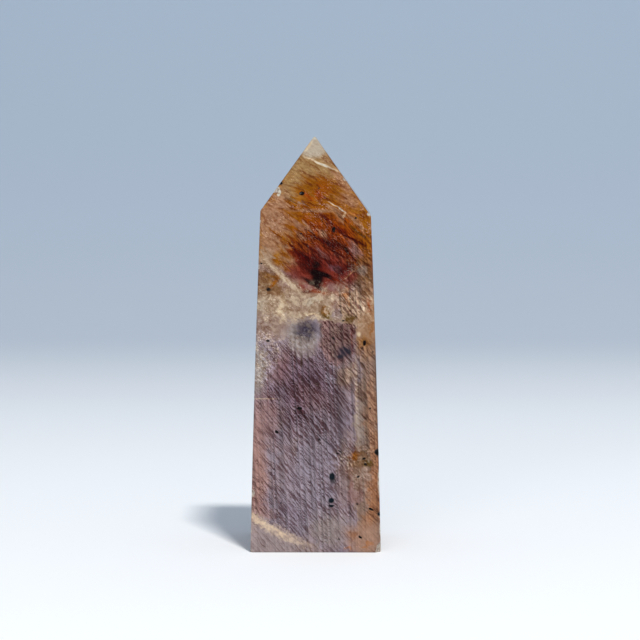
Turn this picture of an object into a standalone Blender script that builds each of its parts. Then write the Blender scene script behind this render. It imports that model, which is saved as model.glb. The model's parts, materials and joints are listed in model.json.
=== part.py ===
"""A polished tower of sunstone grown together with moonstone: one piece of feldspar.

The body is square in section and tapers upwards, its four sides bow out a little, and
a four-sided point stands on it. The cut edges are slightly rounded and chipped, and a
few open pits show where dark grains lie in the polished faces.

Metres, +Z up. The origin is the middle of the flat base. -Y is the side that shows the
dark red patch below the point.
"""

import math

import bmesh
import bpy
from mathutils import Matrix, Vector

MM = 0.001

# The cut form, in millimetres
TIP_HEIGHT = 80.25  # where the faces of the point would meet; the rounding takes off 0.25
BASE_WIDTH = 25.2
SHOULDER_WIDTH = 21.25
SHOULDER_HEIGHT = 65.4
SHOULDER_TILT = 1.0  # the shoulder stands this much higher at -X than at +X
FACE_BOW = 0.16  # how far each side bulges past a straight taper at half its height
TIP_SHIFT = -0.3  # the tip stands this far off the axis, along X
BODY_RINGS = 6  # steps up the bowed sides
EDGE_ROUNDING = 0.24
ROUNDING_STEPS = 2

# The corners of the square section, as signs of X and Y
FRONT_LEFT = (-1, -1)
FRONT_RIGHT = (1, -1)
BACK_RIGHT = (1, 1)
BACK_LEFT = (-1, 1)

# The sides, as the direction that each one faces
FRONT = (0, -1)
RIGHT = (1, 0)
BACK = (0, 1)
LEFT = (-1, 0)

# Chips on the upright edges: corner, height up the edge, length along it, depth
EDGE_CHIPS = [
    (FRONT_RIGHT, 19.5, 1.5, 0.7),
    (FRONT_RIGHT, 13.6, 7.4, 0.26),
    (FRONT_RIGHT, 7.5, 0.9, 0.45),
    (FRONT_RIGHT, 4.6, 3.4, 0.22),
    (FRONT_LEFT, 11.5, 1.8, 0.5),
    (FRONT_LEFT, 39.6, 1.5, 0.35),
    (FRONT_LEFT, 55.2, 1.1, 0.3),
    (BACK_RIGHT, 31.0, 2.6, 0.55),
    (BACK_RIGHT, 52.4, 1.4, 0.4),
    (BACK_LEFT, 22.8, 3.4, 0.45),
    (BACK_LEFT, 46.5, 1.6, 0.5),
    (BACK_LEFT, 6.2, 1.3, 0.45),
]

# Chips on the ridges of the point: corner, share of the way up from the shoulder, length, depth
RIDGE_CHIPS = [
    (FRONT_LEFT, 0.28, 1.5, 0.5),
    (FRONT_LEFT, 0.37, 0.8, 0.35),
    (FRONT_RIGHT, 0.46, 1.0, 0.3),
    (FRONT_RIGHT, 0.03, 1.0, 0.4),
    (BACK_RIGHT, 0.6, 1.3, 0.35),
    (BACK_LEFT, 0.15, 1.2, 0.4),
]

# Chips on the corners of the base: corner, length up the edge, depth
FOOT_CHIPS = [
    (FRONT_RIGHT, 5.2, 0.85),
    (FRONT_LEFT, 1.6, 0.4),
    (BACK_LEFT, 2.4, 0.6),
]

# Open pits in the sides: side, place along the side, height, length, width, turn in degrees
PITS = [
    (FRONT, 3.5, 62.3, 1.15, 0.7, 75),
    (FRONT, 9.4, 40.5, 1.2, 0.6, 80),
    (FRONT, 4.75, 19.55, 1.0, 0.26, -38),
    (FRONT, 4.2, 19.2, 0.75, 0.36, -20),
    (FRONT, 10.7, 8.4, 1.1, 0.5, -25),
    (FRONT, 8.6, 3.0, 0.85, 0.45, -35),
    (FRONT, 9.3, 18.2, 0.8, 0.45, 15),
    (FRONT, -3.1, 27.9, 1.1, 0.6, 0),
    (FRONT, -7.5, 23.4, 0.85, 0.6, -20),
    (RIGHT, -4.8, 56.2, 1.2, 0.7, 60),
    (RIGHT, 3.9, 33.6, 1.0, 0.6, -30),
    (RIGHT, -2.2, 12.5, 1.3, 0.6, 20),
    (BACK, -6.1, 48.3, 1.1, 0.7, -65),
    (BACK, 2.7, 36.9, 0.9, 0.6, 40),
    (BACK, 5.4, 15.2, 1.3, 0.55, 10),
    (LEFT, 4.5, 60.1, 1.0, 0.6, 30),
    (LEFT, -1.4, 30.7, 1.2, 0.6, -50),
    (LEFT, 6.3, 9.6, 0.9, 0.6, 75),
]

# Open pits in the faces of the point: side, place across the face, share of the way up, size
POINT_PITS = [
    (FRONT, -2.6, 0.25, 1.15),
    (LEFT, 1.8, 0.35, 0.9),
]

PIT_DEPTH = 0.28
CHIP_BULGE = 2.6  # how round a chip's hollow is: its cutter's radius over its depth

STONE_COLOUR = (0.56, 0.39, 0.33, 1.0)
STONE_ROUGHNESS = 0.16


def clear_scene():
    """Removes whatever the scene holds."""
    for obj in list(bpy.data.objects):
        bpy.data.objects.remove(obj, do_unlink=True)


def new_collection(name):
    """A collection of this name in the scene."""
    collection = bpy.data.collections.new(name)
    bpy.context.scene.collection.children.link(collection)
    return collection


def half_width(share):
    """Half the body's width at this share of the shoulder's height."""
    straight = BASE_WIDTH + (SHOULDER_WIDTH - BASE_WIDTH) * share
    return straight / 2 + FACE_BOW * 4 * share * (1 - share)


def shoulder_height(x_sign):
    """The shoulder's height at its -X or +X end."""
    return SHOULDER_HEIGHT - x_sign * SHOULDER_TILT / 2


def edge_point(corner, height):
    """The point of an upright edge at this height."""
    x_sign, y_sign = corner
    half = half_width(height / shoulder_height(x_sign))
    return Vector((x_sign * half, y_sign * half, height))


def tip_point():
    """The top of the point."""
    return Vector((TIP_SHIFT, 0, TIP_HEIGHT))


def stone_material():
    """Polished feldspar, in the stone's mean colour."""
    material = bpy.data.materials.new("polished_feldspar")
    material.use_nodes = True
    shader = material.node_tree.nodes["Principled BSDF"]
    shader.inputs["Base Color"].default_value = STONE_COLOUR
    shader.inputs["Roughness"].default_value = STONE_ROUGHNESS
    shader.inputs["Metallic"].default_value = 0.0
    material.diffuse_color = STONE_COLOUR
    return material


def add_mesh_object(name, bm, collection):
    """An object of this name that holds the bmesh's faces, scaled from millimetres."""
    mesh = bpy.data.meshes.new(name)
    bm.transform(Matrix.Scale(MM, 4))
    bm.to_mesh(mesh)
    bm.free()
    obj = bpy.data.objects.new(name, mesh)
    collection.objects.link(obj)
    return obj


def cut_body_rings(bm):
    """Cuts level rings round a unit cube whose base is at z = 0 and whose top is at z = 1."""
    for step in range(1, BODY_RINGS):
        bmesh.ops.bisect_plane(
            bm,
            geom=bm.verts[:] + bm.edges[:] + bm.faces[:],
            plane_co=(0, 0, step / BODY_RINGS),
            plane_no=(0, 0, 1),
        )


def shape_body(bm):
    """Moves the cube's points out to the tapered, bowed sides and up to the tilted shoulder."""
    for vert in bm.verts:
        share = vert.co.z
        x_sign = math.copysign(1, vert.co.x)
        y_sign = math.copysign(1, vert.co.y)
        half = half_width(share)
        vert.co = Vector((x_sign * half, y_sign * half, share * shoulder_height(x_sign)))


def raise_point(bm):
    """Raises the top face to a four-sided point."""
    top = max(bm.faces, key=lambda face: face.calc_center_median().z)
    raised = bmesh.ops.poke(bm, faces=[top])["verts"][0]
    raised.co = tip_point()


def build_blank(collection):
    """The cut form, with its edges rounded by the polish."""
    bm = bmesh.new()
    bmesh.ops.create_cube(bm, size=1, matrix=Matrix.Translation((0, 0, 0.5)))
    cut_body_rings(bm)
    shape_body(bm)
    raise_point(bm)
    tower = add_mesh_object("stone_tower", bm, collection)
    rounding = tower.modifiers.new("edge_rounding", "BEVEL")
    rounding.width = EDGE_ROUNDING * MM
    rounding.segments = ROUNDING_STEPS
    rounding.limit_method = "ANGLE"
    rounding.angle_limit = math.radians(25)
    return tower


def frame_along(axis, outward):
    """A turn that takes X along the axis and Z outwards."""
    x_axis = axis.normalized()
    y_axis = outward.cross(x_axis).normalized()
    z_axis = x_axis.cross(y_axis)
    return Matrix((x_axis, y_axis, z_axis)).transposed().to_4x4()


def add_scoop(name, place, turn, size, collection, detail):
    """A rounded cutter: a ball stretched to half sizes along the turn's own axes."""
    bm = bmesh.new()
    bmesh.ops.create_icosphere(bm, subdivisions=detail, radius=1)
    bm.transform(Matrix.Translation(place) @ turn @ Matrix.Diagonal((*size, 1)))
    scoop = add_mesh_object(name, bm, collection)
    scoop.hide_render = True
    scoop.display_type = "WIRE"
    return scoop


def add_chip(name, place, along, outward, length, depth, collection):
    """A scoop that bites a chip of this length and depth out of an edge."""
    radius = depth * CHIP_BULGE
    reach = math.sqrt(1 - (1 - depth / radius) ** 2)
    size = (length / 2 / reach, radius, radius)
    centre = place + outward.normalized() * (radius - depth)
    add_scoop(name, centre, frame_along(along, outward), size, collection, detail=2)


def cut_edge_chips(collection):
    """The chips on the four upright edges."""
    for number, (corner, height, length, depth) in enumerate(EDGE_CHIPS, 1):
        place = edge_point(corner, height)
        along = edge_point(corner, height + 1) - place
        outward = Vector((*corner, 0))
        add_chip(f"edge_chip_{number}", place, along, outward, length, depth, collection)


def cut_ridge_chips(collection):
    """The chips on the four ridges of the point."""
    for number, (corner, share, length, depth) in enumerate(RIDGE_CHIPS, 1):
        foot = edge_point(corner, shoulder_height(corner[0]))
        along = tip_point() - foot
        place = foot + along * share
        outward = Vector((*corner, 1))
        add_chip(f"ridge_chip_{number}", place, along, outward, length, depth, collection)


def cut_foot_chips(collection):
    """The chips where the upright edges meet the base."""
    for number, (corner, length, depth) in enumerate(FOOT_CHIPS, 1):
        place = edge_point(corner, 0)
        outward = Vector((*corner, -0.35))
        add_chip(f"foot_chip_{number}", place, Vector((0, 0, 1)), outward, length, depth, collection)


def side_frame(side, normal):
    """The directions along and up a face whose outward normal is given."""
    along = Vector((-side[1], side[0], 0))
    return along, normal.cross(along).normalized()


def add_pit(name, place, along, normal, length, width, turn, collection):
    """A shallow oval scoop in a face."""
    across = normal.cross(along)
    heading = along * math.cos(turn) + across * math.sin(turn)
    size = (length / 2, width / 2, PIT_DEPTH)
    add_scoop(name, place, frame_along(heading, normal), size, collection, detail=1)


def cut_pits(collection):
    """The open pits in the sides of the body and of the point."""
    for number, (side, offset, height, length, width, turn) in enumerate(PITS, 1):
        half = half_width(height / SHOULDER_HEIGHT)
        normal = Vector((*side, (BASE_WIDTH - SHOULDER_WIDTH) / 2 / SHOULDER_HEIGHT)).normalized()
        along, _ = side_frame(side, normal)
        place = Vector((side[0] * half, side[1] * half, height)) + along * offset
        add_pit(
            f"pit_{number}", place, along, normal, length, width, math.radians(turn), collection
        )
    for number, (side, offset, share, size) in enumerate(POINT_PITS, 1):
        foot = Vector((side[0], side[1], 0)) * SHOULDER_WIDTH / 2
        foot.z = shoulder_height(side[0])
        slope = tip_point() - foot
        along = Vector((-side[1], side[0], 0))
        normal = along.cross(slope).normalized()
        place = foot + slope * share + along * offset
        add_pit(
            f"point_pit_{number}", place, along, normal, size, size * 0.8, 0.0, collection
        )


def cut_away(tower, cutters):
    """Takes the chips and pits out of the tower."""
    cut = tower.modifiers.new("chips_and_pits", "BOOLEAN")
    cut.operation = "DIFFERENCE"
    cut.operand_type = "COLLECTION"
    cut.collection = cutters
    cut.solver = "EXACT"


def build_tower():
    """Builds the whole stone."""
    clear_scene()
    parts = new_collection("sunstone_moonstone_tower")
    cutters = new_collection("cutters")
    tower = build_blank(parts)
    cut_edge_chips(cutters)
    cut_ridge_chips(cutters)
    cut_foot_chips(cutters)
    cut_pits(cutters)
    cut_away(tower, cutters)
    tower.data.materials.append(stone_material())


build_tower()
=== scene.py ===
import json
import math
import random
from itertools import count

import bpy
from mathutils import Matrix, Vector

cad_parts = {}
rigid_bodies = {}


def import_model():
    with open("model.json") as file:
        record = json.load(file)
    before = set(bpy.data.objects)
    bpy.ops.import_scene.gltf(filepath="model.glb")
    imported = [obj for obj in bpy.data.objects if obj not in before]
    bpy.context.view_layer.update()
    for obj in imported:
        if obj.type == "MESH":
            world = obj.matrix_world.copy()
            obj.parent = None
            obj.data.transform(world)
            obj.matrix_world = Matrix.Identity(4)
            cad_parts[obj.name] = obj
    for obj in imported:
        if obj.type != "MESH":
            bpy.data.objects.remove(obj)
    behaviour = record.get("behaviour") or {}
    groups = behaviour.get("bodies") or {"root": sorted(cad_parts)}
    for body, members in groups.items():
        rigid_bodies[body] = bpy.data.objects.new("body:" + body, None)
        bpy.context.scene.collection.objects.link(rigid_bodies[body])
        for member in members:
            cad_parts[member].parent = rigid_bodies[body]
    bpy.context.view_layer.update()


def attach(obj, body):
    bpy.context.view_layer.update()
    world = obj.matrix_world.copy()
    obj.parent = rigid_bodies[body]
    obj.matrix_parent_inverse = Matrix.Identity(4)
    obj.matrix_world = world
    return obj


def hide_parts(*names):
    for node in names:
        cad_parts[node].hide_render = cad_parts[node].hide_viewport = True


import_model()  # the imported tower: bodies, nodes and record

# A polished tower of sunstone grown together with moonstone, on a pale studio floor.
# Lengths in the dictionaries are millimetres, with the middle of the base at zero.

mm = 0.001
print("loaded the packed tower")

frontLeft, frontRight, backRight, backLeft = (-1, -1), (1, -1), (1, 1), (-1, 1)
front, right, back, left = (0, -1), (1, 0), (0, 1), (-1, 0)

tower = {
    "baseWidth": 25.2,
    "shoulderWidth": 21.25,
    "shoulderHeight": 65.4,
    "shoulderTilt": 1.0,     # the left end stands this much higher than the right end
    "tipHeight": 80.25,      # before the rounding takes its top off
    "tipShift": -0.3,
    "bow": 0.16,             # the lap leaves the sides this full at half their height
    "edgeRadius": 0.24,
    "edgeSegments": 3,
    "roundedFrom": 22,       # edges that turn by more degrees than this are rounded
    "sharpFrom": 32,         # and the finished faces shade sharp past this
    "uprightParts": 3,       # a side is first cut across in three, for nearly square fine faces
    "cells": 40,             # fine faces across a side
    "ripple": 0.03,          # how far hand polishing leaves the sides from flat
    "rippleSize": 9.0,
    "calmShare": 1 / 12,     # below this share of the height the ripple dies out to the flat base
    # chips on the upright edges: corner, height, length, depth, what shows in the hollow
    "edgeChips": [
        (frontRight, 19.5, 1.5, 0.7, "grain"),
        (frontRight, 13.6, 7.4, 0.26, "break"),
        (frontRight, 7.5, 0.9, 0.45, "grain"),
        (frontRight, 4.6, 3.4, 0.22, "break"),
        (frontLeft, 11.5, 1.8, 0.5, "break"),
        (frontLeft, 39.6, 1.5, 0.35, "break"),
        (frontLeft, 55.2, 1.1, 0.3, "break"),
        (backRight, 31.0, 2.6, 0.55, "break"),
        (backRight, 52.4, 1.4, 0.4, "break"),
        (backLeft, 22.8, 3.4, 0.45, "break"),
        (backLeft, 46.5, 1.6, 0.5, "break"),
        (backLeft, 6.2, 1.3, 0.45, "grain"),
    ],
    # chips on the ridges of the point: corner, share of the way up, length, depth, what shows
    "ridgeChips": [
        (frontLeft, 0.28, 1.5, 0.5, "break"),
        (frontLeft, 0.37, 0.8, 0.35, "grain"),
        (frontRight, 0.46, 1.0, 0.3, "break"),
        (frontRight, 0.03, 1.0, 0.4, "break"),
        (backRight, 0.6, 1.3, 0.35, "break"),
        (backLeft, 0.15, 1.2, 0.4, "break"),
    ],
    # chips where the upright edges meet the base: corner, length, depth, what shows
    "footChips": [
        (frontRight, 5.2, 0.85, "break"),
        (frontLeft, 1.6, 0.4, "break"),
        (backLeft, 2.4, 0.6, "break"),
    ],
    # open pits left by dark grains: side, place along it, height, length, width, turn
    "pits": [
        (front, 3.5, 62.3, 1.15, 0.7, 75),
        (front, 9.4, 40.5, 1.2, 0.6, 80),
        (front, 4.75, 19.55, 1.0, 0.26, -38),
        (front, 4.2, 19.2, 0.75, 0.36, -20),
        (front, 10.7, 8.4, 1.1, 0.5, -25),
        (front, 8.6, 3.0, 0.85, 0.45, -35),
        (front, 9.3, 18.2, 0.8, 0.45, 15),
        (front, -3.1, 27.9, 1.1, 0.6, 0),
        (front, -7.5, 23.4, 0.85, 0.6, -20),
        (right, -4.8, 56.2, 1.2, 0.7, 60),
        (right, 3.9, 33.6, 1.0, 0.6, -30),
        (right, -2.2, 12.5, 1.3, 0.6, 20),
        (back, -6.1, 48.3, 1.1, 0.7, -65),
        (back, 2.7, 36.9, 0.9, 0.6, 40),
        (back, 5.4, 15.2, 1.3, 0.55, 10),
        (left, 4.5, 60.1, 1.0, 0.6, 30),
        (left, -1.4, 30.7, 1.2, 0.6, -50),
        (left, 6.3, 9.6, 0.9, 0.6, 75),
    ],
    # smaller grains that the polish left almost level
    "levelGrains": [
        (front, 7.7, 64.5, 0.5, 0.4, 0),
        (front, -2.8, 61.5, 0.5, 0.35, 20),
        (front, -10.4, 55.8, 0.45, 0.35, 0),
        (front, -9.1, 50.8, 0.8, 0.5, 40),
        (front, 3.4, 41.4, 0.8, 0.4, -40),
        (front, 5.3, 44.8, 0.6, 0.35, 10),
        (front, -9.2, 40.9, 0.75, 0.45, 0),
        (front, 8.9, 39.5, 0.45, 0.35, 0),
        (front, 11.0, 38.8, 0.4, 0.3, 0),
        (front, 10.5, 27.9, 0.45, 0.4, 0),
        (front, 0.7, 21.9, 0.55, 0.4, 60),
        (front, 9.6, 17.1, 0.7, 0.5, -10),
        (front, 8.2, 14.7, 0.6, 0.45, 20),
        (front, 8.0, 9.4, 0.45, 0.3, -45),
        (front, 4.5, 2.6, 0.5, 0.25, -15),
        (front, -6.7, 9.6, 0.35, 0.3, 0),
    ],
    # grains in the faces of the point: side, place across, share of the way up, length, depth
    "pointPits": [
        (front, -2.6, 0.25, 1.15, 0.28),
        (left, 1.8, 0.35, 0.9, 0.28),
        (front, 0.7, 0.32, 0.45, 0.07),
    ],
    "pitDepth": 0.28,
    "levelDepth": 0.07,
    "pointPitWidth": 0.8,    # as a share of the length
    "nibblesPerEdge": 13,    # the tiny chips that roughen an edge in use
    "nibbleHeight": (1.5, 64),
    "nibbleLength": (0.35, 0.9),
    "nibbleDepth": (0.14, 0.24),
    "grainsPerSide": 16,     # further small grains on the right, back and left sides
    "grainHeight": (3, 62),
    "grainSpread": 0.85,     # how far from the middle of a side they lie, in half widths of it
    "grainLength": (0.3, 0.8),
    "grainWidth": (0.5, 0.9),    # as a share of the length
    "bulge": 2.6,            # how round a chip's hollow is: its ball's radius over its depth
    "footLean": -0.35,       # how far down a chip at the foot opens, over how far out
    "chipDetail": 4,         # how finely a ball that cuts a chip is divided
    "grainDetail": 2,
    "chipRoughness": 0.035,  # how far a hollow's wall strays, as a share of its smallest half size
    "grainRoughness": 0.42,
    "seed": 11,
}


def fullness(share):  # how far a side bows out at this share of its height, from 0 to 1
    return 4 * share * (1 - share)


def halfWidthAt(share):
    straight = tower["baseWidth"] + (tower["shoulderWidth"] - tower["baseWidth"]) * share
    return straight / 2 + tower["bow"] * fullness(share)


def shoulderAt(xSign):
    return tower["shoulderHeight"] - xSign * tower["shoulderTilt"] / 2


def tipPoint():
    return Vector((tower["tipShift"], 0, tower["tipHeight"]))


def edgePoint(corner, height):
    half = halfWidthAt(height / shoulderAt(corner[0]))
    return Vector((corner[0] * half, corner[1] * half, height))


def selectWhere(mesh, kind, test):  # selects the vertices, edges or faces that pass the test
    bpy.ops.mesh.select_all(action="DESELECT")
    bpy.ops.object.mode_set(mode="OBJECT")
    for item in getattr(mesh, kind):
        item.select = test(item)
    bpy.ops.object.mode_set(mode="EDIT")


def cutBlank():
    bpy.ops.object.select_all(action="DESELECT")
    base, shoulder, height = tower["baseWidth"], tower["shoulderWidth"], tower["shoulderHeight"]
    bpy.ops.mesh.primitive_cube_add(
        size=1, location=(0, 0, height * mm / 2), scale=(base * mm, base * mm, height * mm))
    bpy.ops.object.transform_apply(location=True, rotation=True, scale=True)
    stone = bpy.context.object
    stone.name = stone.data.name = "polishedTower"
    mesh = stone.data
    near = 0.1  # a point this close to a height, in millimetres, is taken as at it
    bpy.ops.object.mode_set(mode="EDIT")
    bpy.context.tool_settings.mesh_select_mode = (False, False, True)
    selectWhere(mesh, "polygons", lambda face: face.normal.z > 0.9)  # the top
    bpy.ops.transform.resize(value=(shoulder / base, shoulder / base, 1))
    bpy.ops.mesh.extrude_region_move()  # the top face goes up to the point
    bpy.ops.transform.translate(
        value=(tower["tipShift"] * mm, 0, (tower["tipHeight"] - height) * mm))
    bpy.ops.mesh.merge(type="CENTER")
    bpy.context.tool_settings.mesh_select_mode = (True, False, False)
    for xSign in (-1, 1):  # the shoulder leans down to the right
        selectWhere(mesh, "vertices", lambda v: abs(v.co.z / mm - height) < near and v.co.x * xSign > 0)
        bpy.ops.transform.translate(value=(0, 0, -xSign * tower["shoulderTilt"] / 2 * mm))
    bpy.context.tool_settings.mesh_select_mode = (False, True, False)
    points = [v.co.copy() for v in mesh.vertices]
    upright = {e.index for e in mesh.edges
               if min(points[v].z for v in e.vertices) < near * mm
               and max(points[v].z for v in e.vertices) > near * mm}
    selectWhere(mesh, "edges", lambda edge: edge.index in upright)
    bpy.ops.mesh.subdivide(number_cuts=tower["uprightParts"] - 1)
    bpy.ops.mesh.select_all(action="SELECT")
    bpy.ops.mesh.subdivide(number_cuts=tower["cells"] - 1)
    bpy.ops.object.mode_set(mode="OBJECT")
    print("cut the blank:", len(mesh.polygons), "faces")
    return stone


def polish(stone):
    # the sides bulge most at half their height, and the ripple fades to nothing at the base
    full = stone.vertex_groups.new(name="fullness")
    calm = stone.vertex_groups.new(name="awayFromBase")
    for vertex in stone.data.vertices:
        share = vertex.co.z / mm / tower["shoulderHeight"]
        full.add([vertex.index], max(0.0, fullness(share)), "REPLACE")
        calm.add([vertex.index], min(1.0, max(0.0, share / tower["calmShare"])), "REPLACE")
    bow = stone.modifiers.new("bow", "DISPLACE")
    bow.strength = tower["bow"] * mm
    bow.mid_level = 0
    bow.vertex_group = full.name
    ripples = bpy.data.textures.new("lapRipples", "CLOUDS")
    ripples.noise_scale = tower["rippleSize"] * mm
    ripples.noise_depth = 1
    ripple = stone.modifiers.new("ripple", "DISPLACE")
    ripple.texture = ripples
    ripple.texture_coords = "LOCAL"
    ripple.strength = tower["ripple"] * mm
    ripple.mid_level = 0.5
    ripple.vertex_group = calm.name
    edges = stone.modifiers.new("edges", "BEVEL")
    edges.width = tower["edgeRadius"] * mm
    edges.segments = tower["edgeSegments"]
    edges.limit_method = "ANGLE"
    edges.angle_limit = math.radians(tower["roundedFrom"])
    for modifier in (bow, ripple, edges):
        bpy.ops.object.modifier_apply(modifier=modifier.name)
    print("polished the sides and rounded the edges:", len(stone.data.polygons), "faces")


def turnTo(along, outward):  # the turn that lays X along an edge and Z out of the stone
    xAxis = along.normalized()
    yAxis = outward.cross(xAxis).normalized()
    return Matrix((xAxis, yAxis, xAxis.cross(yAxis))).transposed().to_euler()


def addTool(place, turn, halves, material, detail, roughness, seed):
    # a knobbly ball that takes one flaw out of the stone
    bpy.ops.mesh.primitive_ico_sphere_add(
        subdivisions=detail, radius=1, location=place * mm, rotation=turn, scale=[h * mm for h in halves])
    bpy.ops.object.mode_set(mode="EDIT")
    bpy.ops.transform.vertex_random(offset=roughness * min(halves) * mm, seed=seed)
    bpy.ops.object.mode_set(mode="OBJECT")
    bpy.context.object.data.materials.append(material)


def chipTool(place, along, outward, length, depth, material, seed, detail=tower["chipDetail"]):
    outward = Vector(outward)
    radius = depth * tower["bulge"]
    reach = math.sqrt(1 - (1 - depth / radius) ** 2)  # the hollow's rim, over the ball's radius
    middle = place + outward.normalized() * (radius - depth)
    halves = (length / 2 / reach, radius, radius)
    addTool(middle, turnTo(along, outward), halves, material, detail, tower["chipRoughness"], seed)


def sideFrame(side):  # the directions along a side and out of it
    lean = (tower["baseWidth"] - tower["shoulderWidth"]) / 2 / tower["shoulderHeight"]
    return Vector((-side[1], side[0], 0)), Vector((*side, lean)).normalized()


def sideMiddle(side, height):
    return Vector((*side, 0)) * halfWidthAt(height / tower["shoulderHeight"]) + Vector((0, 0, height))


def grainTool(place, along, outward, length, width, depth, turn, material, seed):
    heading = along * math.cos(turn) + outward.cross(along) * math.sin(turn)
    halves = (length / 2, width / 2, depth)
    addTool(place, turnTo(heading, outward), halves, material, tower["grainDetail"],
            tower["grainRoughness"], seed)


def chipEdges(finishes, seeds):
    for corner, height, length, depth, finish in tower["edgeChips"]:
        place = edgePoint(corner, height)
        along = edgePoint(corner, height + 1) - place
        chipTool(place, along, (*corner, 0), length, depth, finishes[finish], next(seeds))
    for corner, share, length, depth, finish in tower["ridgeChips"]:
        foot = edgePoint(corner, shoulderAt(corner[0]))
        along = tipPoint() - foot
        place = foot + along * share
        chipTool(place, along, (*corner, 1), length, depth, finishes[finish], next(seeds))
    for corner, length, depth, finish in tower["footChips"]:
        place = edgePoint(corner, 0)
        outward = (*corner, tower["footLean"])
        chipTool(place, Vector((0, 0, 1)), outward, length, depth, finishes[finish], next(seeds))


def openPits(finish, seeds):
    for rows, depth in (("pits", tower["pitDepth"]), ("levelGrains", tower["levelDepth"])):
        for side, offset, height, length, width, turn in tower[rows]:
            along, outward = sideFrame(side)
            place = sideMiddle(side, height) + along * offset
            grainTool(place, along, outward, length, width, depth, math.radians(turn), finish, next(seeds))
    for side, offset, share, length, depth in tower["pointPits"]:
        foot = Vector((*side, 0)) * tower["shoulderWidth"] / 2
        foot.z = shoulderAt(side[0])
        slope = tipPoint() - foot
        along = Vector((-side[1], side[0], 0))
        place = foot + slope * share + along * offset
        width = length * tower["pointPitWidth"]
        grainTool(place, along, along.cross(slope), length, width, depth, 0, finish, next(seeds))


def scatterWear(finishes, seeds):
    dice = random.Random(tower["seed"])
    for corner in (frontLeft, frontRight, backRight, backLeft):
        for number in range(tower["nibblesPerEdge"]):
            height = dice.uniform(*tower["nibbleHeight"])
            place = edgePoint(corner, height)
            along = edgePoint(corner, height + 1) - place
            length = dice.uniform(*tower["nibbleLength"])
            depth = dice.uniform(*tower["nibbleDepth"])
            chipTool(place, along, (*corner, 0), length, depth, finishes["break"], next(seeds),
                     tower["grainDetail"])
    for side in (right, back, left):
        along, outward = sideFrame(side)
        for number in range(tower["grainsPerSide"]):
            height = dice.uniform(*tower["grainHeight"])
            half = halfWidthAt(height / tower["shoulderHeight"])
            spot = dice.uniform(-tower["grainSpread"], tower["grainSpread"])
            place = sideMiddle(side, height) + along * spot * half
            length = dice.uniform(*tower["grainLength"])
            width = length * dice.uniform(*tower["grainWidth"])
            grainTool(place, along, outward, length, width, tower["levelDepth"],
                      dice.uniform(0, math.pi), finishes["grain"], next(seeds))


def takeOutFlaws(stone, finishes):
    tools = bpy.data.collections.new("flawTools")
    bpy.context.scene.collection.children.link(tools)
    viewLayer = bpy.context.view_layer
    viewLayer.active_layer_collection = viewLayer.layer_collection.children[tools.name]
    bpy.ops.object.select_all(action="DESELECT")
    seeds = count(1)
    chipEdges(finishes, seeds)
    openPits(finishes["grain"], seeds)
    scatterWear(finishes, seeds)
    viewLayer.active_layer_collection = viewLayer.layer_collection
    bpy.ops.object.select_all(action="DESELECT")
    stone.select_set(True)
    viewLayer.objects.active = stone
    cut = stone.modifiers.new("flaws", "BOOLEAN")
    cut.operation = "DIFFERENCE"
    cut.operand_type = "COLLECTION"
    cut.collection = tools
    cut.solver = "EXACT"
    cut.material_mode = "TRANSFER"
    bpy.ops.object.modifier_apply(modifier=cut.name)
    flaws = list(tools.objects)
    for tool in flaws:
        bpy.data.objects.remove(tool, do_unlink=True)
    bpy.data.collections.remove(tools)
    bpy.ops.object.shade_smooth_by_angle(angle=math.radians(tower["sharpFrom"]))
    print("took out", len(flaws), "flaws:", len(stone.data.polygons), "faces")


def paint(hexColour):  # an sRGB hex colour as the linear values a shader takes
    channels = [int(hexColour[i:i + 2], 16) / 255 for i in (1, 3, 5)]
    return [c / 12.92 if c <= 0.04045 else ((c + 0.055) / 1.055) ** 2.4 for c in channels] + [1.0]


def feed(tree, node, links):  # gives a node's inputs their values, or the nodes that they come from
    for socket, value in links.items():
        if isinstance(value, bpy.types.Node):
            value = next(output for output in value.outputs if output.enabled)
        if isinstance(value, bpy.types.NodeSocket):
            tree.links.new(value, node.inputs[socket])
        else:
            node.inputs[socket].default_value = value


def addNode(tree, kind, settings, links):
    node = tree.nodes.new("ShaderNode" + kind)
    for name, value in settings.items():
        setattr(node, name, value)
    feed(tree, node, links)
    return node


# settings that many nodes share; a smooth step needs no clamp
smooth = {"interpolation_type": "SMOOTHSTEP", "clamp": False}
times = {"operation": "MULTIPLY"}
blend = {"data_type": "RGBA"}
tint = {"data_type": "RGBA", "blend_type": "MULTIPLY"}


def startMaterial(name, look):
    material = bpy.data.materials.new(name)
    material.use_nodes = True
    tree = material.node_tree
    shader = tree.nodes["Principled BSDF"]
    feed(tree, shader, {"IOR": look["index"], "Specular IOR Level": look["shine"]})
    return material, tree, shader


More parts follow.
